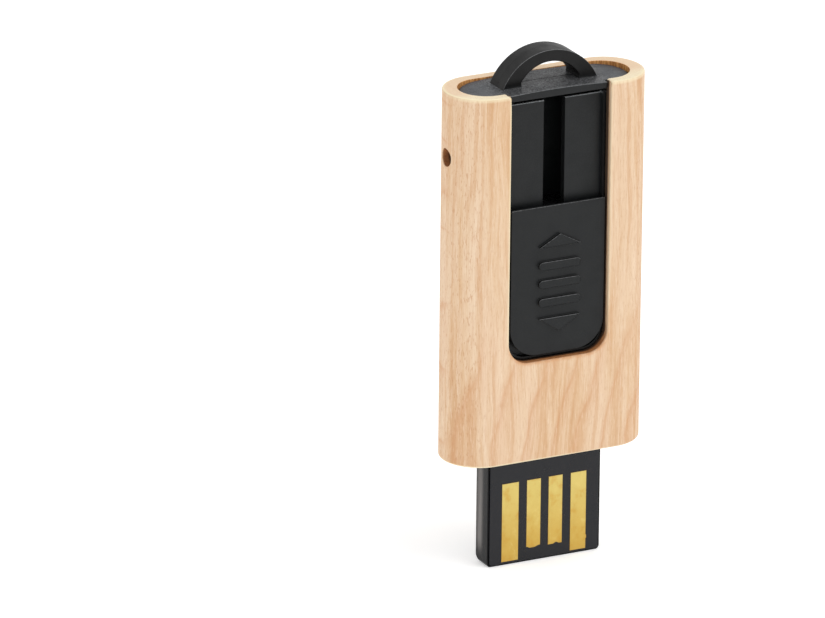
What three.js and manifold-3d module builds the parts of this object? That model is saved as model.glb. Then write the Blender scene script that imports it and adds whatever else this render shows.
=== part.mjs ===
// A retractable USB flash drive: a maple sleeve around a black clamshell chassis, in which a thumb slider
// carries a chip-on-board memory module whose tongue slides out of the bottom end.
// Millimetres. +Z runs from the plug tip to the key ring loop, the slider faces -Y, and the origin is the
// centre of the plug tip. The drive is modelled with the plug fully out.
import * as THREE from "three";
import { mergeVertices } from "three/addons/utils/BufferGeometryUtils.js";
import Module from "manifold-3d";

const wasm = await Module();
wasm.setup();

// ---- Driving dimensions ----
const TRAVEL = 10.25; // how far the thumb slider moves
const PLUG_LENGTH = 10.65; // how far the plug stands out of the sleeve
const SLEEVE_WIDTH = 19.6;
const SLEEVE_THICKNESS = 7.25;
const SLEEVE_HEIGHT = 35.15;
const SLEEVE_FACE_WALL = 1.1; // front and back
const SLEEVE_END_WALL = 1.4; // narrow sides
const NOTCH_WIDTH = 10.04; // the front opening for the thumb slider, open at the top
const NOTCH_BOTTOM = 20.2;
const NOTCH_CORNER = 2.1;

const FIT_GAP = 0.1; // clearance between the chassis and the front and back of the cavity
const END_GAP = 0.25; // and between the chassis and its narrow ends
const PANEL_FRONT = -2.2; // the sunken panel that the thumb slider runs over
const BORDER_FRONT = -2.7; // a low border lines the notch
const BORDER_WIDTH = 0.24;
const LIP_FRONT = -3; // front edge of the cap, in the notch
const LIP_HEIGHT = 0.75;
const SHELL_RECESS = 0.3; // the chassis ends this far inside the bottom of the sleeve
const SHELL_END_WALL = 1; // bottom end of the chassis, around the plug
const CAP_CROWN = 0.4; // the cap falls away by this much from its middle to its ends
const BAY_HALF_WIDTH = 6.9; // inside of the chassis, where the carriage runs
const BAY_HALF_DEPTH = 1.5;
const SEAM_GAP = 0.04; // between the front and back shells

const PLUG_WIDTH = 11.5;
const PLUG_DEPTH = 2.64;
const MODULE_WIDTH = 11.1; // a chip-on-board memory module
const MODULE_LENGTH = 24.8;
const MODULE_THICKNESS = 1.4;

const ARC_STEPS = 40; // facets on a half circle
const SMALL_ARC_STEPS = 8;
const OVER = 1; // how far a cutter runs past the face that it cuts

// ---- Places worked out from them ----
const SLEEVE_BOTTOM = PLUG_LENGTH;
const SLEEVE_TOP = SLEEVE_BOTTOM + SLEEVE_HEIGHT;
const CAVITY_WIDTH = SLEEVE_WIDTH - 2 * SLEEVE_END_WALL;
const CAVITY_THICKNESS = SLEEVE_THICKNESS - 2 * SLEEVE_FACE_WALL;
const SHELL_WIDTH = CAVITY_WIDTH - 2 * END_GAP;
const SHELL_THICKNESS = CAVITY_THICKNESS - 2 * FIT_GAP;
const SHELL_BOTTOM = SLEEVE_BOTTOM + SHELL_RECESS;
const CAP_TOP = SLEEVE_TOP; // at the middle of its crown
const CAP_UNDER = CAP_TOP - LIP_HEIGHT;
const PLUG_FRONT = -PLUG_DEPTH / 2;
const PLUG_BACK = PLUG_DEPTH / 2;

// Retaining boss on each narrow side, and its hole in the wood
const BOSS_Z = 39.7;
const BOSS_HOLE_RADIUS = 0.85;
const BOSS_RADIUS = 0.75;
const BOSS_REACH = 0.45; // past the cavity wall, into the hole

// Carriage
const RAIL_HALF_WIDTH = 6.7;
const RAIL_BOTTOM = SHELL_BOTTOM + SHELL_END_WALL + 0.15;
const CARRIAGE_TOP = 34.2;
const TRAY_FLOOR = PLUG_FRONT + MODULE_THICKNESS + 0.1; // 0.1 of adhesive film behind the module
const TRAY_FRONT = PLUG_FRONT + 0.12; // the tray's side walls stop just short of the module's face
const MODULE_TIP = 0.15;
const MODULE_TAIL = MODULE_TIP + MODULE_LENGTH;
const TIP_CHAMFER = 0.8;
const TRAY_CORNER = 0.35; // along the back of the tongue
const TIP_CORNER = 0.4; // at the two sides of its tip
const MODULE_CORNER = 0.25;
const DETENT_Z = 33.2;
const DETENT_REACH = 0.15; // the bump on the spring arm stands out this far
const ARM_BOTTOM = 27;
const ARM_SLOT_INNER = 5.5;
const ARM_SLOT_OUTER = 5.9;

// Thumb slider
const PLATE_HALF_WIDTH = 4.74;
const PLATE_OFFSET = 0.08; // the plate and its marks stand a little to one side of the notch's middle
const PLATE_BOTTOM = 20.65;
const PLATE_TOP = CAP_UNDER - 0.05 - TRAVEL;
const PLATE_BACK = BORDER_FRONT - 0.05;
const PLATE_FRONT = PLATE_BACK - 0.35;
const PLATE_LOWER_CORNER = 2.75;
const PLATE_UPPER_CORNER = 0.25;
const MARK_HEIGHT = 0.32; // raised arrows and bars
const MARK_HALF_WIDTH = 2.1;
const MARK_OFFSET = 0.1; // and the marks a little further
const STEM_HALF_WIDTH = 0.95;
const STEM_BOTTOM = 27.4;
const STEM_TOP = 32.8;
const STEM_SPLIT = 1; // slit between the two snap legs
const HOOK_REACH = 0.35;
const HOOK_FRONT = 0.65; // the hooks hold behind this plane of the carriage
const HOOK_BACK = 1.15;
const SLOT_HALF_WIDTH = 1.07; // slot in the front shell for the stem
const SLOT_BOTTOM = 26.6;
const RELIEF_GAP = 0.5; // gap between the top of the panels and the underside of the cap

// ---- Materials ----
const finish = (color, roughness, metalness = 0) =>
  new THREE.MeshStandardMaterial({ color, roughness, metalness });
const maple = finish(0xe3c19a, 0.62);
const blackPlastic = finish(0x2e2f30, 0.48);
const solderMask = finish(0x2b2c2f, 0.22);
const mouldCompound = finish(0x232325, 0.35);
const gold = finish(0xd9b75c, 0.35, 1);
const silicon = finish(0x5b5f6b, 0.2, 0.6);
const chipCeramic = finish(0xb59a74, 0.5);
const resistorBlack = finish(0x1c1c1f, 0.4);
const adhesive = finish(0xd8d4c6, 0.6);

// ---- Shapes and solids ----

// A box between two corners.
function block([x0, y0, z0], [x1, y1, z1]) {
  const box = new THREE.BoxGeometry(x1 - x0, y1 - y0, z1 - z0);
  return box.translate((x0 + x1) / 2, (y0 + y1) / 2, (z0 + z1) / 2);
}

// A shape drawn in (x, y), drawn up from z0 to z1.
function upright(shape, z0, z1, curveSegments = ARC_STEPS) {
  const depth = z1 - z0;
  return new THREE.ExtrudeGeometry(shape, { depth, bevelEnabled: false, curveSegments }).translate(0, 0, z0);
}

// A shape drawn in (x, z), reaching from y0 to y1.
function facing(shape, y0, y1, curveSegments = ARC_STEPS) {
  const depth = y1 - y0;
  return new THREE.ExtrudeGeometry(shape, { depth, bevelEnabled: false, curveSegments })
    .rotateX(Math.PI / 2)
    .translate(0, y1, 0);
}

// A shape drawn in (y, z), reaching from x0 to x1.
function sideways(shape, x0, x1) {
  const turn = new THREE.Matrix4().makeBasis(
    new THREE.Vector3(0, 1, 0),
    new THREE.Vector3(0, 0, 1),
    new THREE.Vector3(1, 0, 0),
  );
  return new THREE.ExtrudeGeometry(shape, { depth: x1 - x0, bevelEnabled: false })
    .applyMatrix4(turn)
    .translate(x0, 0, 0);
}

// A round bar along X.
function barAlongX(radius, x0, x1, y, z, steps = 2 * SMALL_ARC_STEPS) {
  const bar = new THREE.CylinderGeometry(radius, radius, x1 - x0, steps);
  return bar.rotateZ(Math.PI / 2).translate((x0 + x1) / 2, y, z);
}

// A round bar along Y.
function barAlongY(radius, y0, y1, x, z, steps = 2 * SMALL_ARC_STEPS) {
  return new THREE.CylinderGeometry(radius, radius, y1 - y0, steps).translate(x, (y0 + y1) / 2, z);
}

// A rectangle with half-round ends, centred on the origin.
function stadium(width, thickness) {
  const radius = thickness / 2;
  const run = width / 2 - radius;
  return new THREE.Shape()
    .moveTo(-run, -radius)
    .lineTo(run, -radius)
    .absarc(run, 0, radius, -Math.PI / 2, Math.PI / 2)
    .lineTo(-run, radius)
    .absarc(-run, 0, radius, Math.PI / 2, (3 * Math.PI) / 2);
}

// An upright rectangle about x = 0, with its own radius on the lower and the upper corners (0 for square).
function panel(halfWidth, bottom, top, lower, upper) {
  const shape = new THREE.Shape();
  const corner = (x, y, radius, from) =>
    radius > 0
      ? shape.absarc(x - Math.sign(x) * radius, y, radius, from, from + Math.PI / 2)
      : shape.lineTo(x, y);
  shape.moveTo(-halfWidth + lower, bottom);
  corner(halfWidth, bottom + lower, lower, -Math.PI / 2);
  corner(halfWidth, top - upper, upper, 0);
  corner(-halfWidth, top - upper, upper, Math.PI / 2);
  corner(-halfWidth, bottom + lower, lower, Math.PI);
  return shape;
}

const polygon = (...points) => new THREE.Shape(points.map(([a, b]) => new THREE.Vector2(a, b)));

// A closed geometry as a manifold solid.
function solid(geometry) {
  const bare = geometry.clone().deleteAttribute("normal").deleteAttribute("uv");
  const merged = mergeVertices(bare, 1e-4);
  return new wasm.Manifold(
    new wasm.Mesh({
      numProp: 3,
      vertProperties: new Float32Array(merged.attributes.position.array),
      triVerts: new Uint32Array(merged.index.array),
    }),
  );
}

const join = (first, ...rest) => rest.reduce((sum, g) => sum.add(solid(g)), first);
const cut = (first, ...rest) => rest.reduce((left, g) => left.subtract(solid(g)), first);

// A manifold solid as a named mesh.
function piece(name, body, material) {
  const made = body.getMesh();
  const geometry = new THREE.BufferGeometry();
  geometry.setAttribute("position", new THREE.BufferAttribute(new Float32Array(made.vertProperties), 3));
  geometry.setIndex(new THREE.BufferAttribute(new Uint32Array(made.triVerts), 1));
  geometry.computeVertexNormals();
  const mesh = new THREE.Mesh(geometry, material);
  mesh.name = name;
  return mesh;
}

// ---- Wooden sleeve ----

// A tube of maple with half-round sides, notched at the front and drilled through both narrow sides.
function woodenSleeve() {
  const body = solid(upright(stadium(SLEEVE_WIDTH, SLEEVE_THICKNESS), SLEEVE_BOTTOM, SLEEVE_TOP));
  const notch = panel(NOTCH_WIDTH / 2, NOTCH_BOTTOM, SLEEVE_TOP + 2 * OVER, NOTCH_CORNER, OVER);
  return cut(
    body,
    upright(stadium(CAVITY_WIDTH, CAVITY_THICKNESS), SLEEVE_BOTTOM - OVER, SLEEVE_TOP + OVER),
    facing(notch, -SLEEVE_THICKNESS, 0, SMALL_ARC_STEPS),
    barAlongX(BOSS_HOLE_RADIUS, -SLEEVE_WIDTH, SLEEVE_WIDTH, 0, BOSS_Z),
  );
}

// ---- Chassis: two shells that share a cap, a key ring loop and the bay that the carriage runs in ----

// The loop's outline: a flat arch with its feet buried in the cap.
function loopOutline() {
  const outer = { radius: 5.16, centre: CAP_TOP - 2.11 };
  const inner = { radius: 3.37, centre: CAP_TOP - 1.42 };
  const foot = CAP_TOP - 0.4;
  const spring = CAP_TOP + 0.3; // the opening's sides are straight up to here
  const angleAt = ({ radius, centre }, z) => Math.asin((z - centre) / radius);
  const outerAngle = angleAt(outer, foot);
  const innerAngle = angleAt(inner, spring);
  return new THREE.Shape()
    .moveTo(outer.radius * Math.cos(outerAngle), foot)
    .absarc(0, outer.centre, outer.radius, outerAngle, Math.PI - outerAngle)
    .lineTo(-inner.radius * Math.cos(innerAngle), foot)
    .absarc(0, inner.centre, inner.radius, Math.PI - innerAngle, innerAngle, true)
    .lineTo(inner.radius * Math.cos(innerAngle), foot);
}

// Everything below the cap's crowned top.
function underCrown() {
  const width = SHELL_WIDTH / 2 + OVER;
  const crown = [];
  for (let i = 0; i <= ARC_STEPS; i++) {
    const x = width - (2 * width * i) / ARC_STEPS;
    crown.push([x, CAP_TOP - CAP_CROWN * (x / (SHELL_WIDTH / 2)) ** 2]);
  }
  return facing(polygon([-width, 0], [width, 0], ...crown), -SLEEVE_THICKNESS, SLEEVE_THICKNESS);
}

// The whole chassis before it is parted into shells.
function chassis() {
  const loopHalfThickness = 1.3;
  const border = NOTCH_WIDTH / 2 - FIT_GAP;
  const borderBottom = NOTCH_BOTTOM + FIT_GAP;
  const borderTop = CAP_UNDER - 0.2;
  const outerCorner = NOTCH_CORNER - FIT_GAP;
  const recess = panel(
    border - BORDER_WIDTH,
    borderBottom + BORDER_WIDTH,
    CAP_UNDER,
    outerCorner - BORDER_WIDTH,
    0,
  );
  const bossEnd = CAVITY_WIDTH / 2 + BOSS_REACH;
  const bayFloor = SHELL_BOTTOM + SHELL_END_WALL;
  const plugWay = PLUG_WIDTH / 2 + 0.15;
  const hollow = join(
    solid(block([-BAY_HALF_WIDTH, -BAY_HALF_DEPTH, bayFloor], [BAY_HALF_WIDTH, BAY_HALF_DEPTH, CAP_UNDER])),
    block([-plugWay, -BAY_HALF_DEPTH, SHELL_BOTTOM - OVER], [plugWay, BAY_HALF_DEPTH, bayFloor + OVER]),
  );
  const body = join(
    solid(upright(stadium(SHELL_WIDTH, SHELL_THICKNESS), SHELL_BOTTOM, CAP_TOP)),
    block([-border, LIP_FRONT, CAP_UNDER], [border, PANEL_FRONT + 0.3, CAP_TOP]),
  ).intersect(solid(underCrown()));
  const bordered = join(
    body,
    facing(
      panel(border, borderBottom, borderTop, outerCorner, 0),
      BORDER_FRONT,
      PANEL_FRONT + 0.3,
      SMALL_ARC_STEPS,
    ),
  );
  const sunk = cut(bordered, facing(recess, -SLEEVE_THICKNESS, PANEL_FRONT, SMALL_ARC_STEPS));
  const shell = join(
    sunk,
    barAlongX(BOSS_RADIUS, -bossEnd, bossEnd, 0, BOSS_Z),
    facing(loopOutline(), -loopHalfThickness, loopHalfThickness),
  ).subtract(hollow);
  // Hollows in the side walls where the spring arms click, with the plug out and with it in
  const click = BAY_HALF_WIDTH + 0.25;
  return cut(shell, ...[DETENT_Z, DETENT_Z + TRAVEL].map((z) => barAlongX(0.45, -click, click, 0, z)));
}

const half = SEAM_GAP / 2;
const reach = 2 * SLEEVE_TOP;
const PEG_PLACES = [-1, 1].flatMap((side) => [16, 28].map((z) => [side * 7.45, z]));
const PEG_RADIUS = 0.3;
const PEG_LENGTH = 0.6;

// Front shell: slotted for the stem, with a narrow gap between its panels and the lip of the cap.
function frontShell(whole) {
  const front = whole.intersect(solid(block([-reach, -reach, -reach], [reach, -half, reach])));
  const reliefHalfWidth = NOTCH_WIDTH / 2 - FIT_GAP - BORDER_WIDTH - 0.05;
  const outside = PANEL_FRONT - 0.2;
  const inside = -BAY_HALF_DEPTH + 0.2;
  const pegSockets = PEG_PLACES.map(([x, z]) => barAlongY(PEG_RADIUS + 0.06, -PEG_LENGTH - 0.15, OVER, x, z));
  return cut(
    front,
    block([-SLOT_HALF_WIDTH, outside, SLOT_BOTTOM], [SLOT_HALF_WIDTH, inside, CAP_UNDER]),
    block([-reliefHalfWidth, outside, CAP_UNDER - RELIEF_GAP], [reliefHalfWidth, inside, CAP_UNDER]),
    ...pegSockets,
  );
}

// Back shell: plain, with pegs that line the two halves up.
function backShell(whole) {
  const back = whole.intersect(solid(block([-reach, half, -reach], [reach, reach, reach])));
  return join(back, ...PEG_PLACES.map(([x, z]) => barAlongY(PEG_RADIUS, -PEG_LENGTH, 0.3, x, z)));
}

// ---- Thumb slider ----

// Two arrowheads with three bars between them, raised on the plate.
function marks() {
  const marksMiddle = PLATE_OFFSET + MARK_OFFSET;
  const w = MARK_HALF_WIDTH;
  const barPitch = 1.74;
  const barHeight = 0.78;
  const lowestBar = 25.25;
  const bars = [0, 1, 2].map((i) => {
    const bottom = lowestBar + i * barPitch;
    return panel(w, bottom, bottom + barHeight, barHeight * 0.49, barHeight * 0.49);
  });
  const arrows = [
    polygon([-w, 30.9], [w, 30.9], [0, 32.05]),
    polygon([-w, 24.12], [0, 22.72], [w, 24.12]),
  ];
  return [...bars, ...arrows].map((shape) =>
    facing(shape, PLATE_FRONT - MARK_HEIGHT, PLATE_FRONT + 0.1, SMALL_ARC_STEPS).translate(marksMiddle, 0, 0),
  );
}

// The plate that the thumb pushes, with a split stem that snaps into the carriage.
function thumbSlider() {
  const outline = panel(PLATE_HALF_WIDTH, PLATE_BOTTOM, PLATE_TOP, PLATE_LOWER_CORNER, PLATE_UPPER_CORNER);
  const middle = (STEM_BOTTOM + STEM_TOP) / 2;
  const upperHook = polygon(
    [HOOK_FRONT, STEM_TOP - 0.1],
    [HOOK_BACK, STEM_TOP - 0.1],
    [HOOK_BACK, STEM_TOP],
    [HOOK_FRONT, STEM_TOP + HOOK_REACH],
  );
  const lowerHook = polygon(
    [HOOK_FRONT, STEM_BOTTOM - HOOK_REACH],
    [HOOK_BACK, STEM_BOTTOM],
    [HOOK_BACK, STEM_BOTTOM + 0.1],
    [HOOK_FRONT, STEM_BOTTOM + 0.1],
  );
  const joined = join(
    solid(facing(outline, PLATE_FRONT, PLATE_BACK, 2 * SMALL_ARC_STEPS).translate(PLATE_OFFSET, 0, 0)),
    block([-STEM_HALF_WIDTH, PLATE_BACK - 0.1, STEM_BOTTOM], [STEM_HALF_WIDTH, HOOK_BACK, STEM_TOP]),
    sideways(upperHook, -STEM_HALF_WIDTH, STEM_HALF_WIDTH),
    sideways(lowerHook, -STEM_HALF_WIDTH, STEM_HALF_WIDTH),
    ...marks(),
  );
  const slit = block(
    [-OVER, -0.6, middle - STEM_SPLIT / 2],
    [OVER, HOOK_BACK + OVER, middle + STEM_SPLIT / 2],
  );
  return cut(joined, slit);
}

// ---- Carriage ----

// The tray behind the memory module: a thin tongue that slides out, and above it the rails, the spring
// arms and the thumb slider's socket.
function carriage() {
  const w = PLUG_WIDTH / 2;
  const tongue = new THREE.Shape()
    .moveTo(-w, TRAY_FRONT)
    .lineTo(w, TRAY_FRONT)
    .lineTo(w, PLUG_BACK - TRAY_CORNER)
    .absarc(w - TRAY_CORNER, PLUG_BACK - TRAY_CORNER, TRAY_CORNER, 0, Math.PI / 2)
    .lineTo(-w + TRAY_CORNER, PLUG_BACK)
    .absarc(-w + TRAY_CORNER, PLUG_BACK - TRAY_CORNER, TRAY_CORNER, Math.PI / 2, Math.PI);
  const bumps = [-1, 1].map((side) => {
    const edge = side * RAIL_HALF_WIDTH;
    const inner = edge - side * 0.2;
    const corners = [
      [inner, DETENT_Z - 0.5],
      [edge + side * DETENT_REACH, DETENT_Z],
      [inner, DETENT_Z + 0.5],
    ];
    return facing(polygon(...(side > 0 ? corners : corners.reverse())), -0.4, 0.4);
  });
  const tip = panel(w, 0, RAIL_BOTTOM + OVER, TIP_CORNER, 0);
  const joined = join(
    solid(upright(tongue, 0, RAIL_BOTTOM + OVER, SMALL_ARC_STEPS)).intersect(
      solid(facing(tip, -PLUG_DEPTH, PLUG_DEPTH, SMALL_ARC_STEPS)),
    ),
    block([-RAIL_HALF_WIDTH, PLUG_FRONT, RAIL_BOTTOM], [RAIL_HALF_WIDTH, PLUG_BACK, CARRIAGE_TOP]),
    ...bumps,
  );
  const room = 0.05; // around the module
  const pocket = panel(
    MODULE_WIDTH / 2 + room,
    MODULE_TIP - room,
    MODULE_TAIL + 2 * room,
    MODULE_CORNER + room,
    0,
  );
  const modulePocket = facing(pocket, PLUG_FRONT - OVER, TRAY_FLOOR, SMALL_ARC_STEPS);
  const socketHalfWidth = STEM_HALF_WIDTH + 0.1;
  const socket = block(
    [-socketHalfWidth, -PLUG_DEPTH, STEM_BOTTOM - 0.1],
    [socketHalfWidth, PLUG_DEPTH, STEM_TOP + 0.1],
  );
  const hookRecess = block(
    [-socketHalfWidth, HOOK_FRONT - 0.05, STEM_BOTTOM - HOOK_REACH - 0.25],
    [socketHalfWidth, PLUG_DEPTH, STEM_TOP + HOOK_REACH + 0.25],
  );
  const armSlots = [-1, 1].map((side) =>
    block(
      [Math.min(side * ARM_SLOT_INNER, side * ARM_SLOT_OUTER), -PLUG_DEPTH, ARM_BOTTOM],
      [Math.max(side * ARM_SLOT_INNER, side * ARM_SLOT_OUTER), PLUG_DEPTH, CARRIAGE_TOP + OVER],
    ),
  );
  const leadIn = sideways(
    polygon(
      [PLUG_BACK - TIP_CHAMFER, 0],
      [PLUG_BACK, -OVER],
      [PLUG_BACK + OVER, -OVER],
      [PLUG_BACK + OVER, TIP_CHAMFER],
      [PLUG_BACK, TIP_CHAMFER],
    ),
    -PLUG_WIDTH,
    PLUG_WIDTH,
  );
  return cut(joined, modulePocket, socket, hookRecess, ...armSlots, leadIn);
}

// ---- Memory module ----

// Chips on the back of the substrate. x and z are the chip's centre, w and l its width and length, and it
// reaches from `from` to `from` + h above the board.
const SUBSTRATE_BACK = PLUG_FRONT + 0.25;
const chips = [
  { name: "nand_die_lower", x: 0, z: 17.6, w: 9.6, l: 8.2, from: 0, h: 0.14, material: silicon },
  { name: "nand_die_upper", x: 0, z: 17.1, w: 9.6, l: 8.2, from: 0.14, h: 0.14, material: silicon },
  { name: "controller_die", x: -1.6, z: 9.2, w: 3.2, l: 3.2, from: 0, h: 0.2, material: silicon },
  ...[0, 1, 2, 3].map((i) => ({
    name: `capacitor_${i + 1}`,
    x: 2.2 + (i % 2) * 1.6,
    z: 8.2 + Math.floor(i / 2) * 2.1,
    w: 0.6,
    l: 1.1,
    from: 0,
    h: 0.5,
    material: chipCeramic,
  })),
  ...[0, 1].map((i) => ({
    name: `resistor_${i + 1}`,
    x: -4.4,
    z: 8.2 + i * 2.1,
    w: 0.55,
    l: 1.05,
    from: 0,
    h: 0.35,
    material: resistorBlack,
  })),
];

const chipBox = ({ x, z, w, l, from, h }, room = 0) =>
  block(
    [x - w / 2 - room, SUBSTRATE_BACK + from - (room > 0 ? OVER / 2 : 0), z - l / 2 - room],
    [x + w / 2 + room, SUBSTRATE_BACK + from + h + room, z + l / 2 + room],
  );

// Glass-epoxy board under black solder mask; its front is the contact face of the plug.
function substrate() {
  const outline = panel(MODULE_WIDTH / 2, MODULE_TIP, MODULE_TAIL, MODULE_CORNER, 0);
  return solid(facing(outline, PLUG_FRONT, SUBSTRATE_BACK, SMALL_ARC_STEPS));
}

// Epoxy cast over the chips, close around each of them.
function moulding() {
  const inset = 0.05;
  const outline = panel(
    MODULE_WIDTH / 2 - inset,
    MODULE_TIP + inset,
    MODULE_TAIL - inset,
    MODULE_CORNER - inset,
    0,
  );
  const body = solid(facing(outline, SUBSTRATE_BACK, PLUG_FRONT + MODULE_THICKNESS, SMALL_ARC_STEPS));
  return cut(body, ...chips.map((chip) => chipBox(chip, 0.02)));
}

// Double-sided film that holds the module in the tray.
function adhesiveFilm() {
  return solid(block([-5.2, PLUG_FRONT + MODULE_THICKNESS, 0.9], [5.2, TRAY_FLOOR, MODULE_TAIL - 0.6]));
}

// The four contacts of a USB type A plug. The outer pair is on the standard centres, and it is longer, so
// that it mates first.
const CONTACT_TOP = 7.92;
const CONTACT_PROUD = 0.04;
const contacts = [
  { name: "contact_supply", x: -3.5, width: 1.68, bottom: 0.36 },
  { name: "contact_data_minus", x: -1.11, width: 1.4, bottom: 1.32 },
  { name: "contact_data_plus", x: 1.11, width: 1.4, bottom: 1.32 },
  { name: "contact_ground", x: 3.46, width: 1.58, bottom: 0.36 },
];
const contactBox = ({ x, width, bottom }) =>
  block([x - width / 2, PLUG_FRONT - CONTACT_PROUD, bottom], [x + width / 2, PLUG_FRONT, CONTACT_TOP]);

// ---- Assembly ----

const caseGroup = new THREE.Group();
caseGroup.name = "case";
const wholeChassis = chassis();
caseGroup.add(
  piece("wooden_sleeve", woodenSleeve(), maple),
  piece("front_shell", frontShell(wholeChassis), blackPlastic),
  piece("back_shell", backShell(wholeChassis), blackPlastic),
);

const sliderGroup = new THREE.Group();
sliderGroup.name = "slider";
sliderGroup.add(
  piece("thumb_slider", thumbSlider(), blackPlastic),
  piece("slider_carriage", carriage(), blackPlastic),
  piece("module_substrate", substrate(), solderMask),
  piece("module_moulding", moulding(), mouldCompound),
  piece("adhesive_film", adhesiveFilm(), adhesive),
  ...contacts.map((contact) => piece(contact.name, solid(contactBox(contact)), gold)),
  ...chips.map((chip) => piece(chip.name, solid(chipBox(chip)), chip.material)),
);

const flashDrive = new THREE.Group();
flashDrive.add(caseGroup, sliderGroup);

export default flashDrive;
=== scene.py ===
"""Looks of a retractable usb flash drive with a maple sleeve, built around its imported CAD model.

Shapes are worked in millimetres and written to the meshes in metres, in the CAD frame: +Z runs from the
plug tip to the key ring loop, and the thumb slider faces -Y.
"""

import math

import bmesh
import bpy
from mathutils import Matrix, Vector, noise


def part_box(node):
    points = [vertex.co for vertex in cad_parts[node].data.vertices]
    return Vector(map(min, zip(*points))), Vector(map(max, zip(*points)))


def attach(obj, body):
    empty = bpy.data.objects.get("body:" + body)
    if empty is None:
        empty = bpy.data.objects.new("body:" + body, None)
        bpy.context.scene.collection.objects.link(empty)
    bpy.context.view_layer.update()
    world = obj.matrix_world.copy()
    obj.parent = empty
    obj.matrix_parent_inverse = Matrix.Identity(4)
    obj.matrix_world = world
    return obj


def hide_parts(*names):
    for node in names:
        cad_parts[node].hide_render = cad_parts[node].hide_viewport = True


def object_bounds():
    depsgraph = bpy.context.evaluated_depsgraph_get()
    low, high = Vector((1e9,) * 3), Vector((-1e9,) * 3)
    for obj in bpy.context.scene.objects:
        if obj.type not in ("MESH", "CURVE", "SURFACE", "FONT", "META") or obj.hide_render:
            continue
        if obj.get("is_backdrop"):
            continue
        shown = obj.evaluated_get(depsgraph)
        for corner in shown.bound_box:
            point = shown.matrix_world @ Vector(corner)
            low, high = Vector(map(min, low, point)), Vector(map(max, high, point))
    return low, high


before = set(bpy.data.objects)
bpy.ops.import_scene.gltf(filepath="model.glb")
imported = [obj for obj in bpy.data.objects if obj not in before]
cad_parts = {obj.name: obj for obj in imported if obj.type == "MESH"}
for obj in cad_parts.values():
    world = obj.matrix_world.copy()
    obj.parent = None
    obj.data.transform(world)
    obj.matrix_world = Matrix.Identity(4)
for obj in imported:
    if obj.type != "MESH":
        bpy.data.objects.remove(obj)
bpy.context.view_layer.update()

MM = 0.001
SHARP = math.radians(25)  # edges folded more than this are rounded
SPLIT = math.radians(50)  # and those still folded more than this stay crisp

# ---- Places on the object, from the CAD model, in millimetres ----


def corners(node):
    low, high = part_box(node)
    return low / MM, high / MM


sleeve_low, sleeve_high = corners("wooden_sleeve")
plate_low, plate_high = corners("thumb_slider")
board_low, _ = corners("module_substrate")
SLEEVE_RADIUS = sleeve_high.y  # of its half-round narrow sides
SLEEVE_RUN = sleeve_high.x - SLEEVE_RADIUS  # half width of its flat front and back
SLEEVE_BOTTOM, SLEEVE_TOP = sleeve_low.z, sleeve_high.z
BOSS_Z, BOSS_RADIUS = 39.7, 1.0  # the holes in the narrow sides
PEG_X = 7.45  # the pegs that line the two shells up
LOOP_CENTRE = SLEEVE_TOP - 2.11  # height of the middle of the key ring loop's outer arc
LOOP_RADIUS = 5.16  # of that arc
LOOP_HALF = 1.42  # half of the loop's depth
FOOT_X, FOOT_Z = 4.77, 45.66  # where the arc meets the cap
PANEL_FRONT = -2.2  # face of the sunken panels beside the slot
PANEL_TOP = SLEEVE_TOP - 1.25
PANEL_HALF = 4.6  # the panels and the seam's groove in the cap reach this far from the middle
LIP_FRONT = -3.0  # the cap's lip over the notch
BORDER_FRONT = -2.7  # the chassis's border in the notch
SEAM_HALF = 0.02  # half of the gap between the two shells
EDGE_HIGHLIGHT_SLOT = 1  # material slot of the edges with a painted highlight
NOTCH_HALF, NOTCH_BOTTOM, NOTCH_CORNER = 5.02, 20.2, 2.1  # the opening in the front of the sleeve

# ---- Meshes ----


def corner_normals(bm):
    """For each vertex and face, the mean of the normals round that vertex, weighted by area and split at
    sharp edges. Flat faces stay flat to their borders, and only the rounded edges between them turn."""
    normals = {}
    for vert in bm.verts:
        left = set(vert.link_faces)
        while left:
            group, todo = [], [left.pop()]
            while todo:
                face = todo.pop()
                group.append(face)
                for edge in face.edges:
                    if vert in edge.verts and edge.calc_face_angle(0) < SPLIT:
                        for other in edge.link_faces:
                            if other in left:
                                left.remove(other)
                                todo.append(other)
            mean = sum((f.normal * max(f.calc_area(), 1e-9) for f in group), Vector())
            for face in group:
                normals[vert.index, face.index] = mean.normalized()
    return normals


def finish_piece(bm, name, body, slot, material, *nodes, edges=None):
    """The bmesh, in millimetres, as a smooth-shaded piece that rides on a body and stands for CAD nodes.
    Its edges with a painted highlight take a material of their own."""
    bmesh.ops.dissolve_degenerate(bm, edges=bm.edges, dist=1e-5)
    for face in bm.faces:
        face.smooth = True
    bm.normal_update()
    bm.verts.index_update()
    bm.faces.index_update()
    normals = corner_normals(bm)
    origin = bm.faces.layers.int.new("origin")
    for face in bm.faces:
        face[origin] = face.index
    bmesh.ops.triangulate(bm, faces=[f for f in bm.faces if len(f.verts) > 4])
    bm.transform(Matrix.Scale(MM, 4))
    mesh = bpy.data.meshes.new(name)
    bm.to_mesh(mesh)
    bm.free()
    whole = [item.value for item in mesh.attributes["origin"].data]
    mesh.normals_split_custom_set(
        [normals[v, whole[p.index]] for p in mesh.polygons for v in p.vertices]
    )
    mesh.attributes.remove(mesh.attributes["origin"])
    mesh.materials.append(material)
    if edges:
        mesh.materials.append(edges)
    piece = bpy.data.objects.new(name, mesh)
    bpy.context.scene.collection.objects.link(piece)
    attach(piece, body)
    if nodes:
        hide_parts(*nodes)
    return piece


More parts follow.
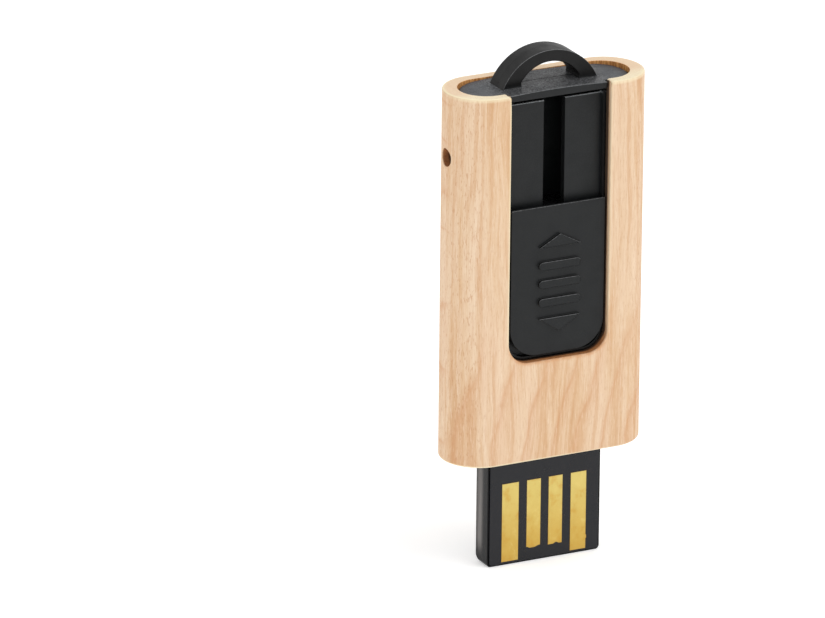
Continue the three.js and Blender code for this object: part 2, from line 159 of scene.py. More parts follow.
def cad_copy(node, *cuts):
    """A CAD node's shape in millimetres, with its flat faces whole again instead of in triangles. Each cut,
    an x, parts the faces that have holes in them, so that the edges round cleanly."""
    bm = bmesh.new()
    bm.from_mesh(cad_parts[node].data)
    bm.transform(Matrix.Scale(1 / MM, 4))
    bmesh.ops.remove_doubles(bm, verts=bm.verts, dist=2e-4)
    for x in cuts:
        parts = [*bm.verts, *bm.edges, *bm.faces]
        made = bmesh.ops.bisect_plane(bm, geom=parts, dist=1e-4, plane_co=(x, 0, 0), plane_no=(1, 0, 0))
        for item in made["geom_cut"]:
            if isinstance(item, bmesh.types.BMEdge):
                item.seam = True
    bmesh.ops.dissolve_limit(
        bm, angle_limit=math.radians(0.2), verts=bm.verts, edges=bm.edges, delimit={"SEAM"}
    )
    return bm


def round_edges(bm, width, where, segments=3, material=-1):
    """Rounds the sharp edges whose middle passes the test, with a material slot for the rounding."""
    edges = [
        e
        for e in bm.edges
        if len(e.link_faces) == 2
        and e.calc_face_angle(0) > SHARP
        and where((e.verts[0].co + e.verts[1].co) / 2)
    ]
    if edges:
        bmesh.ops.bevel(
            bm,
            geom=edges,
            offset=width,
            offset_type="OFFSET",
            segments=segments,
            profile=0.5,
            affect="EDGES",
            clamp_overlap=False,
            loop_slide=True,
            material=material,
        )


def keep_in_box(bm, node):
    """Brings back into the CAD node's box what shot out of it where roundings meet at a shallow angle."""
    low, high = corners(node)
    for vert in bm.verts:
        vert.co = [min(max(value, least), most) for value, least, most in zip(vert.co, low, high)]


def ring(p):
    """How far a point lies from the middle line of the sleeve's stadium outline."""
    return math.hypot(max(abs(p.x) - SLEEVE_RUN, 0), p.y)


# ---- Node-based materials ----


class Shader:
    """A material's nodes. The coordinates are the object's own, in millimetres."""

    def __init__(self, name, **settings):
        self.material = bpy.data.materials.new(name)
        self.material.use_nodes = True
        self.tree = self.material.node_tree
        self.bsdf = self.tree.nodes["Principled BSDF"]
        for key, value in settings.items():
            self.bsdf.inputs[key.replace("_", " ")].default_value = value
        self.coordinates = self.tree.nodes.new("ShaderNodeTexCoord")
        self.mm = self.scaled(self.coordinates.outputs["Object"], (1 / MM,) * 3)

    def plug(self, socket, value):
        if isinstance(value, bpy.types.NodeSocket):
            self.tree.links.new(value, socket)
        else:
            socket.default_value = value

    def node(self, kind, **inputs):
        made = self.tree.nodes.new("ShaderNode" + kind)
        for key, value in inputs.items():
            self.plug(made.inputs[key], value)
        return made

    def scaled(self, vector, factors):
        made = self.tree.nodes.new("ShaderNodeVectorMath")
        made.operation = "MULTIPLY"
        self.plug(made.inputs[0], vector)
        self.plug(made.inputs[1], factors)
        return made.outputs[0]

    def math(self, operation, *values):
        made = self.tree.nodes.new("ShaderNodeMath")
        made.operation = operation
        for socket, value in zip(made.inputs, values):
            self.plug(socket, value)
        return made.outputs[0]

    def chain(self, operation, values):
        made = values[0]
        for value in values[1:]:
            made = self.math(operation, made, value)
        return made

    def times(self, *values):
        return self.chain("MULTIPLY", values)

    def plus(self, *values):
        return self.chain("ADD", values)

    def minus(self, a, b):
        return self.math("SUBTRACT", a, b)

    def larger(self, a, b):
        return self.math("MAXIMUM", a, b)

    def size(self, value):
        return self.math("ABSOLUTE", value)

    def hypot(self, a, b):
        """The length of the hypotenuse over two sides."""
        return self.math("SQRT", self.plus(self.times(a, a), self.times(b, b)))

    def axes(self, vector):
        return self.node("SeparateXYZ", Vector=vector).outputs

    def joined(self, x, y, z):
        return self.node("CombineXYZ", X=x, Y=y, Z=z).outputs[0]

    def noise(self, vector, stretch, detail=3.0, roughness=0.5):
        """Noise with about stretch cells per millimetre along each axis, from 0 to 1 about 0.5."""
        cells = self.scaled(vector, stretch)
        made = self.node("TexNoise", Vector=cells, Detail=detail, Roughness=roughness)
        made.inputs["Scale"].default_value = 1
        return made.outputs[0]

    def between(self, value, start, end, low=0.0, high=1.0):
        """Value carried smoothly from start..end to low..high, and held outside it."""
        made = self.node("MapRange", Value=value)
        made.interpolation_type = "SMOOTHSTEP"
        for key, number in (("From Min", start), ("From Max", end), ("To Min", low), ("To Max", high)):
            made.inputs[key].default_value = number
        return made.outputs[0]

    def ramp(self, value, *stops):
        made = self.node("ValToRGB", Fac=value)
        points = made.color_ramp.elements
        while len(points) < len(stops):
            points.new(0.5)
        for point, (position, shade) in zip(points, stops):
            point.position = position
            point.color = shade if len(shade) == 4 else (*shade, 1)
        return made.outputs[0]

    def mix(self, factor, a, b):
        made = self.tree.nodes.new("ShaderNodeMix")
        made.data_type = "RGBA"
        self.plug(made.inputs[0], factor)
        self.plug(made.inputs[6], a)
        self.plug(made.inputs[7], b)
        return made.outputs[2]

    def bump(self, height, depth):
        """Relief of a height from 0 to 1, depth millimetres deep. It adds to the relief given before it."""
        made = self.node("Bump", Height=height)
        made.inputs["Strength"].default_value = 1
        made.inputs["Distance"].default_value = depth * MM
        old = self.bsdf.inputs["Normal"]
        if old.links:
            self.tree.links.new(old.links[0].from_socket, made.inputs["Normal"])
        self.tree.links.new(made.outputs[0], old)

    def upward(self):
        """How far the surface faces up, from 1 for level to 0 for upright and -1 for level underneath."""
        return self.axes(self.coordinates.outputs["Normal"])[2]

    def set(self, name, value):
        self.plug(self.bsdf.inputs[name], value)


def tone(red, green, blue):
    """A colour given in screen values from 0 to 255, as linear light."""
    def linear(v):
        v /= 255
        return v / 12.92 if v <= 0.04045 else ((v + 0.055) / 1.055) ** 2.4

    return (linear(red), linear(green), linear(blue), 1)


def maple():
    """Sanded maple: fine fibres and flecks, soft streaks on the front, contour-like growth lines on the
    back, pale edges from wear and a painted highlight, pale end grain, and browner cut walls that turn near
    black with painted shade deep in the notch and the side holes."""
    s = Shader("maple", Roughness=0.6, IOR=1.4)
    x, y, z = s.axes(s.mm)
    aside = s.size(x)
    drift = s.noise(s.mm, (0.13, 0.13, 0.045), 2)
    ripple = s.noise(s.mm, (0.45, 0.45, 0.1), 2)
    bend = s.plus(s.times(drift, 3.4), s.times(ripple, 0.7))
    warped = s.joined(s.plus(x, bend), y, z)

    # Soft streaks and fibres that run along the grain
    wide = s.noise(warped, (0.62, 0.62, 0.03), 2, 0.5)
    narrow = s.noise(warped, (1.9, 1.9, 0.06), 2, 0.5)
    thread = s.noise(warped, (5, 5, 0.2), 2, 0.6)
    fibre = s.noise(s.mm, (11, 11, 0.8), 3, 0.65)
    fleck = s.noise(s.mm, (8, 8, 1.9), 2, 0.5)

    # Growth lines: flames low on the front, contours on the back that sway and fold round one side
    fold_x, line_gap = 7, 2.8  # where the contours fold, and the distance from one to the next
    lean_below, sway_above = 29.5, 31.5  # heights
    back = s.between(y, -1.8, 1.2)
    fine = s.times(s.noise(s.mm, (0.9, 0.9, 0.5), 2), 0.16)
    fold = s.minus(x, fold_x)
    folded = s.minus(fold_x + 0.6, s.math("SQRT", s.plus(s.times(fold, fold), 0.4)))
    lower = s.times(s.larger(s.minus(lean_below, z), 0), 0.43)
    upper = s.math("SINE", s.times(s.minus(z, sway_above), 0.209))
    upper = s.times(s.larger(upper, 0), s.between(z, sway_above - 0.5, sway_above))
    upper = s.times(upper, s.minus(2.5, s.times(x, 0.26)))
    wander = s.plus(
        s.times(s.noise(s.mm, (0.16, 0.1, 0.12), 2, 0.5), 3.0),
        s.times(s.noise(s.mm, (0.8, 0.5, 0.6), 2, 0.6), 0.9),
    )
    level = s.plus(s.plus(folded, wander), s.plus(lower, upper))
    contour = s.ramp(
        s.math("FRACT", s.times(level, 1 / line_gap)),
        (0.0, (0.8,) * 3), (0.02, (1,) * 3), (0.065, (0.5,) * 3), (0.1, (0.22,) * 3), (0.4, (0.06,) * 3),
        (0.9, (0,) * 3), (0.965, (0.25,) * 3), (1.0, (0.8,) * 3),
    )
    slant = s.times(s.between(z, 26, 11), 1.1)
    flame_level = s.plus(s.times(x, 0.33), s.plus(slant, s.times(drift, 2.4)))
    flame = s.ramp(
        s.math("FRACT", s.plus(flame_level, fine)),
        (0.0, (0.5,) * 3), (0.05, (1,) * 3), (0.16, (0.45,) * 3), (0.5, (0.1,) * 3), (0.85, (0,) * 3),
        (1.0, (0.5,) * 3),
    )
    flame = s.times(flame, s.between(z, 27, 17, 0.15, 1))

    side = s.between(aside, 6.8, 8.8)
    base = s.ramp(
        wide, (0.36, tone(228, 199, 168)), (0.48, tone(225, 195, 162)), (0.58, tone(220, 186, 149)),
        (0.68, tone(211, 171, 131)),
    )
    calm = s.between(back, 0, 1, 1, 0.35)
    base = s.mix(s.times(calm, s.between(narrow, 0.5, 0.64, 0, 0.4)), base, tone(203, 154, 109))
    base = s.mix(s.times(calm, s.between(narrow, 0.47, 0.34, 0, 0.34)), base, tone(235, 211, 184))
    base = s.mix(s.times(calm, s.between(thread, 0.54, 0.7, 0, 0.26)), base, tone(198, 146, 101))
    lines = s.plus(
        s.times(contour, s.times(back, 0.6)),
        s.times(flame, s.times(s.minus(1, back), 0.5)),
    )
    base = s.mix(lines, base, tone(200, 140, 92))
    base = s.mix(s.between(fibre, 0.53, 0.68, 0, 0.34), base, tone(196, 152, 114))
    base = s.mix(s.between(fibre, 0.47, 0.33, 0, 0.3), base, tone(240, 220, 195))
    spots = s.larger(s.between(side, 0, 1, 0.16, 0.42), s.times(back, 0.4))
    spots = s.times(s.between(fleck, 0.57, 0.68), spots)
    base = s.mix(spots, base, tone(186, 128, 84))

    # Depth below the sleeve's outer surface, distance from the notch, and the sleeve's two ends
    depth = s.minus(SLEEVE_RADIUS, s.hypot(s.larger(s.minus(aside, SLEEVE_RUN), 0), y))
    over = s.larger(s.minus(aside, NOTCH_HALF - NOTCH_CORNER), 0)
    under = s.larger(s.minus(NOTCH_BOTTOM + NOTCH_CORNER, z), 0)
    in_front = s.between(y, -1.8, -2.3)
    from_notch = s.plus(s.minus(s.hypot(over, under), NOTCH_CORNER), s.between(in_front, 0, 1, 9, 0))
    top_end = s.between(z, SLEEVE_TOP - 0.3, SLEEVE_TOP - 0.1)
    bottom_end = s.between(z, SLEEVE_BOTTOM + 0.3, SLEEVE_BOTTOM + 0.1)
    at_end = s.times(s.between(s.size(s.upward()), 0.6, 0.95), s.larger(top_end, bottom_end))
    above = s.between(z, NOTCH_BOTTOM + 0.6, NOTCH_BOTTOM + 2.6)
    beside = s.times(above, in_front, s.between(aside, 7, 5.5))
    lower_lip = s.times(s.between(from_notch, 0.4, 0.0), s.minus(1, above), s.between(aside, 6.5, 5.5))
    from_hole = s.hypot(s.minus(z, BOSS_Z), y)
    in_hole = s.between(from_hole, BOSS_RADIUS + 0.02, BOSS_RADIUS - 0.08)
    in_hole = s.times(in_hole, s.between(aside, 7, 7.5))

    # Cut walls: tan near the outer surface, browner inside, golden behind the cap, and near black with
    # painted shade deep in the notch and the side holes
    pores = s.noise(s.mm, (7, 7, 1), 2, 0.6)
    start = s.minus(s.plus(0.1, s.times(beside, 0.14)), s.times(in_hole, 0.1))
    wall = s.times(s.between(s.minus(depth, start), 0, 0.14), s.minus(1, at_end))
    scorch_and_shade = s.ramp(s.noise(s.mm, (3, 3, 2.4), 3, 0.7), (0.3, tone(184, 122, 72)), (0.7, tone(138, 82, 44)))
    # Painted shade: the cut walls darken to near black deeper into the notch and the side holes
    deep_shade = s.times(s.between(s.plus(depth, s.times(beside, 0.3)), 0.5, 0.85), 0.96)
    deep_shade = s.times(deep_shade, s.larger(in_front, in_hole))
    scorch_and_shade = s.mix(deep_shade, scorch_and_shade, tone(30, 18, 12))
    behind_cap = s.times(s.between(z, SLEEVE_TOP - 0.8, SLEEVE_TOP - 0.5), s.between(y, -1.5, -0.5))
    golden = s.mix(s.between(pores, 0.4, 0.62), tone(232, 168, 98), tone(186, 118, 58))
    scorch_and_shade = s.mix(behind_cap, scorch_and_shade, golden)
    burnt = s.times(lower_lip, s.between(s.noise(s.mm, (2.2, 2.2, 1.2), 3, 0.7), 0.3, 0.6, 0.2, 0.75))
    base = s.mix(burnt, base, tone(204, 146, 98))
    tan = s.mix(s.between(pores, 0.4, 0.65), tone(214, 178, 142), tone(190, 148, 108))
    scorch_and_shade = s.mix(s.times(beside, s.between(depth, 0.6, 0.42)), scorch_and_shade, tan)
    base = s.mix(s.times(wall, 0.94), base, scorch_and_shade)
    pale_side = s.between(y, -0.6, -2.2)
    end = s.mix(pale_side, tone(234, 209, 178), tone(244, 233, 202))
    end = s.mix(s.between(pores, 0.42, 0.68, 0, 0.4), end, tone(220, 186, 148))
    base = s.mix(s.times(at_end, 0.8), base, end)

    # Pale edges: wear from handling and a painted highlight, stronger on the left, along the notch's edges
    # and at the front of the rim
    outside = s.times(s.minus(1, in_hole), s.minus(1, lower_lip))
    worn_and_highlit = s.times(s.between(depth, 0.006, 0.05), s.between(depth, 0.3, 0.12), s.between(x, 0, 4, 1, 0.35))
    lined = s.times(s.between(from_notch, 0.24, 0.1), s.times(above, s.between(depth, 0.2, 0.1)))
    lined = s.times(lined, s.between(x, -1, 1, 1, 0.3))
    shoulder = s.between(z, SLEEVE_TOP - 0.4, SLEEVE_TOP - 0.1)
    shoulder = s.times(shoulder, s.between(depth, 0.4, 0.2, 0, 0.5), s.between(pale_side, 0, 1, 0.35, 1))
    pale = s.larger(s.times(worn_and_highlit, 0.7), s.times(lined, 0.6))
    pale = s.times(s.larger(pale, shoulder), outside)
    base = s.mix(pale, base, tone(244, 232, 196))
    s.set("Base Color", base)
    s.set("Roughness", s.between(fibre, 0.3, 0.7, 0.52, 0.72))
    s.bump(fibre, 0.005)
    s.bump(fleck, 0.004)
    return s.material


def black_plastic():
    """Satin black plastic with the fine grain of a spark-eroded mould, paler on top of the cap with dust
    and a painted sheen, and darker on the key ring loop and in painted shade round the thumb plate and its
    marks, with a painted highlight along the panels' top edges."""
    s = Shader("black_plastic", IOR=1.33)
    x, y, z = s.axes(s.mm)
    fine = s.noise(s.mm, (11, 11, 11), 3, 0.6)
    speck = s.noise(s.mm, (6.5, 6.5, 6.5), 2, 0.7)
    coarse = s.noise(s.mm, (0.7, 0.7, 0.7), 2)
    loop = s.between(z, SLEEVE_TOP + 0.02, SLEEVE_TOP + 0.3)
    level = s.between(s.upward(), 0.8, 0.97)
    cap = s.times(level, s.times(s.between(z, SLEEVE_TOP - 0.8, SLEEVE_TOP - 0.6), s.minus(1, loop)))
    base = s.mix(s.between(fine, 0.35, 0.7), tone(19, 21, 22), tone(28, 30, 31))
    base = s.mix(loop, base, s.mix(s.between(fine, 0.35, 0.7), tone(7, 7, 7), tone(11, 11, 11)))
    aside = s.size(x)
    middle = s.between(aside, 7, 4)
    grain = s.between(speck, 0.4, 0.64)
    # Dust, and a painted sheen, pale on the level top of the cap, with more contrast in the middle
    dust_and_sheen = s.mix(grain, tone(62, 65, 69), tone(82, 85, 90))
    dust_and_sheen = s.mix(middle, dust_and_sheen, s.mix(grain, tone(38, 39, 40), tone(104, 105, 107)))
    base = s.mix(s.times(cap, 0.9), base, dust_and_sheen)
    # Painted highlight along the top edges of the sunken panels
    painted_highlight = s.times(s.between(y, -1.9, -2.15), s.between(z, PANEL_TOP - 0.12, PANEL_TOP - 0.06))
    painted_highlight = s.times(painted_highlight, s.between(z, PANEL_TOP + 0.1, PANEL_TOP + 0.04))
    base = s.mix(s.times(painted_highlight, s.between(speck, 0.35, 0.55, 0.5, 1)), base, tone(122, 126, 128))
    border = s.times(s.between(aside, 4.64, 4.7), s.between(y, BORDER_FRONT + 0.25, BORDER_FRONT + 0.1))
    border = s.times(border, s.between(z, SLEEVE_TOP - 0.8, SLEEVE_TOP - 0.9))
    border = s.times(border, s.between(y, BORDER_FRONT - 0.06, BORDER_FRONT - 0.02))
    mark_sides = s.times(s.between(y, -3.12, -3.14), s.between(y, -3.37, -3.35))
    shade = s.larger(border, mark_sides)
    base = s.mix(shade, base, tone(5, 5, 5))
    rough = s.plus(s.between(coarse, 0.3, 0.7, 0.3, 0.44), s.times(fine, 0.08))
    s.set("Base Color", base)
    s.set("Roughness", s.plus(rough, s.times(shade, 0.4)))
    s.bump(fine, 0.004)
    s.bump(speck, 0.004)
    return s.material


def edge_highlight_plastic():
    """The black plastic's edges, with a painted highlight where they face upward, broken up by noise. The
    tops of the sunken panels are the palest."""
    s = Shader("edge_highlight_plastic", Roughness=0.34, IOR=1.4)
    z = s.axes(s.mm)[2]
    chips = s.noise(s.mm, (4.5, 4.5, 4.5), 2, 0.6)
    # Painted highlight tones, from the slider's marks up to the top of its plate, the panels, the cap's lip
    # and the loop
    painted_highlight = tone(84, 85, 87)
    for start, end, shade in (
        (34, 34.5, tone(94, 95, 97)),
        (44, 44.4, tone(190, 192, 194)),
        (44.8, 45.2, tone(84, 86, 88)),
        (45.9, 46.1, tone(106, 107, 108)),
    ):
        painted_highlight = s.mix(s.between(z, start, end), painted_highlight, shade)
    # Painted highlight: pale where the rounding faces upward, broken up by noise
    amount = s.times(s.between(s.upward(), 0.05, 0.6), s.between(chips, 0.34, 0.6, 0.35, 1))
    s.set("Base Color", s.mix(amount, tone(22, 23, 24), painted_highlight))
    s.set("Roughness", s.between(chips, 0.3, 0.7, 0.28, 0.4))
    s.bump(chips, 0.004)
    return s.material


def tongue_plastic():
    """The smoother plastic of the carriage, with a painted highlight as a paler band down the narrow sides
    of its tongue.
    """
    s = Shader("tongue_plastic", IOR=1.2)
    x, y, z = s.axes(s.mm)
    fine = s.noise(s.mm, (9, 9, 2), 2, 0.6)
    streak = s.noise(s.mm, (2.5, 2.5, 0.25), 2)
    # Painted highlight down the narrow sides, faded near the tip and towards the sleeve as a painted shadow
    # of it
    side_highlight = s.between(s.size(s.minus(y, 0.34)), 0.12, 0.85, 1, 0)
    side_highlight = s.times(side_highlight, s.times(s.between(z, 0.5, 2.6), s.between(z, 10.3, 8.8)))
    side_highlight = s.times(side_highlight, s.between(s.size(x), 5.6, 5.7), s.between(streak, 0.3, 0.7, 0.8, 1))
    base = s.mix(s.between(fine, 0.35, 0.7), tone(16, 16, 17), tone(23, 23, 24))
    s.set("Base Color", s.mix(side_highlight, base, tone(114, 110, 108)))
    s.set("Roughness", s.between(streak, 0.3, 0.7, 0.22, 0.34))
    s.bump(fine, 0.003)
    return s.material


def solder_mask():
    """Glossy black solder mask over a glass-epoxy board: a faint weave and orange peel."""
    s = Shader("solder_mask", IOR=1.37)
    x, _, z = s.axes(s.mm)
    thread = 15.7  # radians per millimetre, for a weave of 0.4 mm
    weave = s.times(s.math("SINE", s.times(x, thread)), s.math("SINE", s.times(z, thread)))
    cloud = s.noise(s.mm, (0.5, 0.5, 0.35), 3)
    s.set("Base Color", s.mix(cloud, tone(18, 19, 23), tone(26, 27, 33)))
    s.set("Roughness", s.between(cloud, 0.3, 0.7, 0.16, 0.26))
    s.bump(s.noise(s.mm, (1.6, 1.6, 1.6), 2), 0.004)
    s.bump(weave, 0.0004)
    return s.material


def gold():
    """Gold plate over copper, with warmer cloudy patches and fine drawn scratches."""
    s = Shader("gold_plate", Metallic=1)
    z = s.axes(s.mm)[2]
    cloud = s.noise(s.mm, (1.1, 1.1, 0.9), 4, 0.62)
    scratch = s.noise(s.mm, (16, 16, 0.8), 2)
    rise = s.between(z, 0.4, 7.9)
    base = s.mix(rise, tone(204, 169, 85), tone(211, 190, 113))
    base = s.mix(s.between(cloud, 0.5, 0.7, 0, 0.5), base, tone(203, 154, 64))
    base = s.mix(s.between(cloud, 0.44, 0.3, 0, 0.4), base, tone(218, 198, 124))
    s.set("Base Color", base)
    s.set("Roughness", s.between(cloud, 0.3, 0.7, 0.34, 0.5))
    s.bump(scratch, 0.0015)
    s.bump(cloud, 0.003)
    return s.material


def plain(name, shade, roughness, speckle=0.12, metallic=0.0, cells=6.0):
    """A material with mottled colour, roughness and relief, for the pieces inside."""
    s = Shader(name, Metallic=metallic)
    spots = s.noise(s.mm, (cells,) * 3, 3, 0.6)
    dark = tone(*[v * (1 - speckle) for v in shade])
    light = tone(*[min(255, v * (1 + speckle)) for v in shade])
    s.set("Base Color", s.mix(s.between(spots, 0.3, 0.7), dark, light))
    s.set("Roughness", s.between(spots, 0.3, 0.7, roughness * 0.85, roughness * 1.15))
    s.bump(spots, 0.004)
    return s.material


wood = maple()
plastic = black_plastic()
smooth_plastic = tongue_plastic()
edge_highlight = edge_highlight_plastic()
mask = solder_mask()
gilt = gold()
copper_edge_and_shadow = plain("copper_edge_and_shadow", (58, 36, 20), 0.5)

# ---- Wooden sleeve ----

bm = cad_copy("wooden_sleeve", 0)
outer = SLEEVE_RADIUS - 0.02  # anything further out is on the outer surface
inner = outer - 0.35  # and anything further in is behind the front edges
round_edges(bm, 0.16, lambda p: p.z > SLEEVE_TOP - 0.01 and ring(p) > outer, 4)
round_edges(bm, 0.3, lambda p: p.z < SLEEVE_BOTTOM + 0.01 and ring(p) > outer, 5)
round_edges(
    bm, 0.28, lambda p: p.z > SLEEVE_TOP - 0.35 and abs(abs(p.x) - NOTCH_HALF) < 0.01 and p.y < 0, 4
)
round_edges(bm, 0.13, lambda p: abs(p.x) < 5.4 and p.y < -SLEEVE_RADIUS + 0.35, 3)
keep_in_box(bm, "wooden_sleeve")
round_edges(
    bm,
    0.07,
    lambda p: ring(p) < inner
    and not (p.z > SLEEVE_TOP - 0.4 and p.y < -2.7)
    and (min(abs(p.z - SLEEVE_TOP), abs(p.z - SLEEVE_BOTTOM)) < 0.4 or p.y < 0 and abs(p.x) < 5.1),
    2,
)
round_edges(bm, 0.06, lambda p: abs(p.z - BOSS_Z) < 1.2 and abs(p.x) > 7 and ring(p) > outer - 0.05, 2)
keep_in_box(bm, "wooden_sleeve")
finish_piece(bm, "sleeve", "case", "maple", wood, "wooden_sleeve")

# ---- Chassis shells ----


def lengthen_feet(bm):
    """Joins the last short facets of the loop's outline where it meets the cap, to leave room to round
    it."""
    feet = {}
    for vert in bm.verts:
        x, y, z = vert.co
        if FOOT_X - 0.12 < abs(x) < FOOT_X + 0.13 and FOOT_Z - 0.06 < z < FOOT_Z + 0.24:
            feet.setdefault((x > 0, round(y, 2)), []).append(vert)
    joined = {}
    for verts in feet.values():
        lowest = min(verts, key=lambda v: v.co.z)
        joined.update({v: lowest for v in verts if v is not lowest})
    bmesh.ops.weld_verts(bm, targetmap=joined)


def from_loop(p):
    """How far a point lies from the middle of the loop's outer arc."""
    return math.hypot(p.x, p.z - LOOP_CENTRE)


def on_panel(p):
    return PANEL_FRONT - 0.05 < p.y < PANEL_FRONT + 0.3


for node, name in (("front_shell", "front_half"), ("back_shell", "back_half")):
    bm = cad_copy(node, -PEG_X, PEG_X)
    lengthen_feet(bm)
    # The seam across the cap, the loop's outer edges, and its inner edges with its feet
    round_edges(bm, 0.035, lambda p: abs(p.y) < 0.03 and 45.3 < p.z < 46 and abs(p.x) < PANEL_HALF, 2)
    round_edges(
        bm,
        0.05,
        lambda p: p.z > FOOT_Z + 0.04 and abs(p.y) > 1 and from_loop(p) > LOOP_RADIUS - 0.16,
        3,
        EDGE_HIGHLIGHT_SLOT,
    )
    round_edges(
        bm,
        0.12,
        lambda p: p.z > 45.2 and 1 < abs(p.y) < LOOP_HALF + 0.08 and from_loop(p) < LOOP_RADIUS - 0.21,
        3,
    )
    # The panels' tops and sides
    round_edges(bm, 0.04, lambda p: on_panel(p) and abs(p.z - PANEL_TOP) < 0.05, 2, EDGE_HIGHLIGHT_SLOT)
    round_edges(bm, 0.03, lambda p: on_panel(p) and p.z > 22 and abs(p.x) < PANEL_HALF, 2)
    # The cap's lip, the rest of its rim, and the border
    round_edges(bm, 0.07, lambda p: p.z > SLEEVE_TOP - 0.15 and p.y < LIP_FRONT + 0.1, 2, EDGE_HIGHLIGHT_SLOT)
    round_edges(bm, 0.07, lambda p: p.z > 45.02 and (abs(p.y) > 2.3 or ring(p) > 2.2), 2)
    round_edges(bm, 0.05, lambda p: p.y < BORDER_FRONT + 0.05 and p.z < 45, 2)
    keep_in_box(bm, node)
    if node == "back_shell":
        # Its face on the seam meets the other half's, behind the groove that the rounding leaves
        for vert in bm.verts:
            if abs(vert.co.y - SEAM_HALF) < 0.002:
                vert.co.y = -SEAM_HALF / 2
    finish_piece(bm, name, "case", "black_plastic", plastic, node, edges=edge_highlight)

# ---- Thumb slider ----

bm = cad_copy("thumb_slider", 0)
round_edges(bm, 0.045, lambda p: p.y < plate_low.y + 0.05, 2, EDGE_HIGHLIGHT_SLOT)
round_edges(bm, 0.05, lambda p: p.y < plate_low.y + 0.4 and p.z > plate_high.z - 0.05, 3, EDGE_HIGHLIGHT_SLOT)
round_edges(bm, 0.05, lambda p: p.y < plate_low.y + 0.7, 3)
keep_in_box(bm, "thumb_slider")
finish_piece(bm, "slider_plate", "slider", "black_plastic", plastic, "thumb_slider", edges=edge_highlight)

# ---- Carriage with the tongue, and the board ----

bm = cad_copy("slider_carriage", 0)
round_edges(bm, 0.04, lambda p: p.z < 13, 2)
finish_piece(bm, "tongue_tray", "slider", "black_plastic", smooth_plastic, "slider_carriage")

bm = cad_copy("module_substrate")
round_edges(bm, 0.05, lambda p: p.y < board_low.y + 0.01, 2)
finish_piece(bm, "board", "slider", "solder_mask", mask, "module_substrate")

# ---- Contacts ----


def slab(outline, y0, y1):
    """An outline in (x, z), reaching from y0 to y1."""
    bm = bmesh.new()
    near = [bm.verts.new((x, y0, z)) for x, z in outline]
    far = [bm.verts.new((x, y1, z)) for x, z in outline]
    bm.faces.new(near)
    bm.faces.new(far[::-1])
    for i in range(len(outline)):
        j = (i + 1) % len(outline)
        bm.faces.new((near[i], far[i], far[j], near[j]))
    bmesh.ops.recalc_face_normals(bm, faces=bm.faces)
    return bm


def etched(node, raggedness, spread=0.0):
    """A contact's outline, spread outwards, with the small wander of an etched edge along its bottom and a
    nick in the side of the ground contact."""
    low, high = corners(node)
    steps = 14
    bottom = []
    for i in range(steps + 1):
        x = low.x + (high.x - low.x) * i / steps
        wander = noise.noise(Vector((x * 1.7, low.x, 0.5))) * raggedness
        bottom.append((x, low.z - spread + max(wander, 0)))
    bottom[0] = (low.x - spread, bottom[0][1])
    bottom[-1] = (high.x + spread, bottom[-1][1])
    nick = []
    if node == "contact_ground":
        out = high.x + spread
        nick = [(out, 1.3), (out + 0.07, 1.36), (out + 0.06, 1.62), (out, 1.7)]
    return bottom + nick + [(high.x + spread, high.z + spread), (low.x - spread, high.z + spread)]


RAGGEDNESS = {
    "contact_supply": 0.03,
    "contact_data_minus": 0.26,
    "contact_data_plus": 0.22,
    "contact_ground": 0.03,
}
rims = bmesh.new()
for node, raggedness in RAGGEDNESS.items():
    low, high = corners(node)
    bm = slab(etched(node, raggedness), low.y, high.y)
    round_edges(bm, 0.012, lambda p: p.y < low.y + 0.001, 2)
    finish_piece(bm, node.replace("contact", "pad"), "slider", "gold_plate", gilt, node)
    # A thin dark rim round each pad: its copper edge, and painted shadow of the mask's opening
    rim = slab(etched(node, raggedness, 0.05), high.y - 0.012, high.y)
    copy = bpy.data.meshes.new("rim")
    rim.to_mesh(copy)
    rims.from_mesh(copy)
    rim.free()
finish_piece(rims, "pad_rims", "slider", "gold_plate", copper_edge_and_shadow)

# ---- Pieces inside ----

inside = {
    "module_moulding": plain("mould_compound", (36, 36, 39), 0.5),
    "adhesive_film": plain("adhesive", (214, 209, 196), 0.6, 0.05),
}
dies = plain("silicon", (96, 100, 112), 0.22, 0.06, 0.4, 1.5)
ceramic = plain("chip_ceramic", (181, 154, 116), 0.5)
resistor = plain("resistor_black", (30, 30, 33), 0.4)
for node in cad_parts:
    if node.endswith(("_lower", "_upper", "_die")):
        inside[node] = dies
    elif node.startswith("capacitor"):
        inside[node] = ceramic
    elif node.startswith("resistor"):
        inside[node] = resistor
for node, material in inside.items():
    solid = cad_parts[node]
    if not solid.material_slots:
        solid.data.materials.append(material)
    solid.material_slots[0].material = material

# ---- Floor, light and camera ----

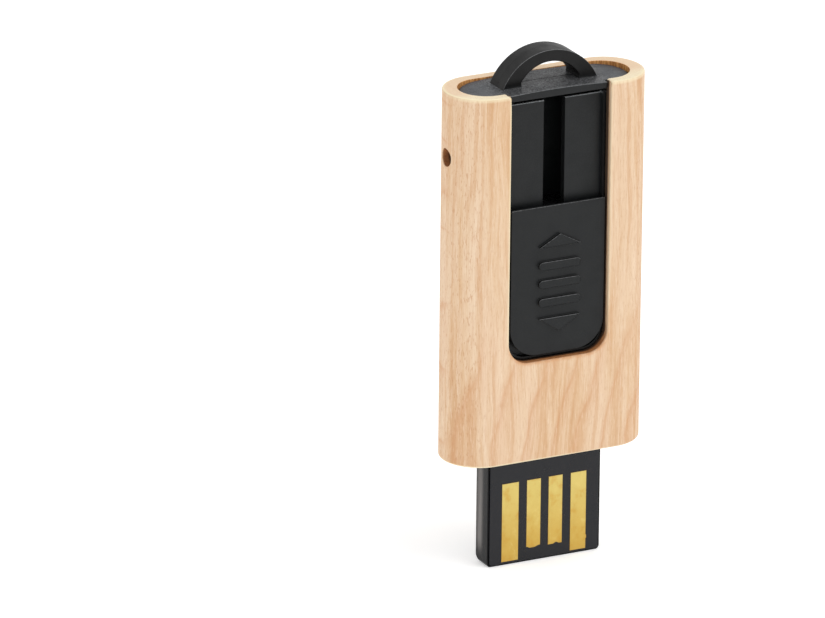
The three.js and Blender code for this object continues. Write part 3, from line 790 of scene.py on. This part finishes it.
bpy.ops.mesh.primitive_grid_add(x_subdivisions=2, y_subdivisions=2, size=6)
floor = bpy.context.object
floor.name = "floor"
paper = Shader("paper", Roughness=0.9, Emission_Color=(1, 1, 1, 1), Emission_Strength=0.3)
paper.set("Base Color", (0.95, 0.95, 0.95, 1))
floor.data.materials.append(paper.material)
floor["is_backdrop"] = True

scene = bpy.context.scene
scene.view_settings.view_transform = "Standard"
world = bpy.data.worlds.new("studio")
scene.world = world
world.use_nodes = True
world.node_tree.nodes["Background"].inputs["Color"].default_value = (1, 1, 1, 1)
world.node_tree.nodes["Background"].inputs["Strength"].default_value = 0.8

TARGET = Vector((0, 0, 0.026))


def softbox(name, direction, distance, width, height, power):
    lamp = bpy.data.lights.new(name, "AREA")
    lamp.shape = "RECTANGLE"
    lamp.size, lamp.size_y = width, height
    lamp.energy = power
    holder = bpy.data.objects.new(name, lamp)
    scene.collection.objects.link(holder)
    toward = Vector(direction).normalized()
    holder.location = TARGET + toward * distance
    holder.rotation_mode = "QUATERNION"
    holder.rotation_quaternion = toward.to_track_quat("Z", "Y")


softbox("top", (0.3, -0.38, 0.9), 0.5, 0.28, 0.28, 0.75)
softbox("left", (-1, -0.1, 0.25), 0.4, 0.12, 0.35, 0.1)

# The camera of the photo, fitted to it: a long lens, slightly rolled, aimed beside the drive
azimuth, elevation, roll = math.radians(26.86), math.radians(19.9), 0.00966
aim = Vector((-12.97, 0, 25.76)) * MM
distance = 920.4 * MM
back = Vector(
    (
        -math.sin(azimuth) * math.cos(elevation),
        -math.cos(azimuth) * math.cos(elevation),
        math.sin(elevation),
    )
)
right = (-back).cross(Vector((0, 0, 1))).normalized()
up = right.cross(-back)
across = right * math.cos(roll) + up * math.sin(roll)
above = -right * math.sin(roll) + up * math.cos(roll)
camera = bpy.data.objects.new("camera", bpy.data.cameras.new("camera"))
scene.collection.objects.link(camera)
camera.data.sensor_width = 36
camera.data.lens = 446.9
camera.data.clip_start, camera.data.clip_end = 0.05, 10
turn = Matrix((across, above, back)).transposed().to_4x4()
camera.matrix_world = Matrix.Translation(aim + back * distance) @ turn
scene.camera = camera

low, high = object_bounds()
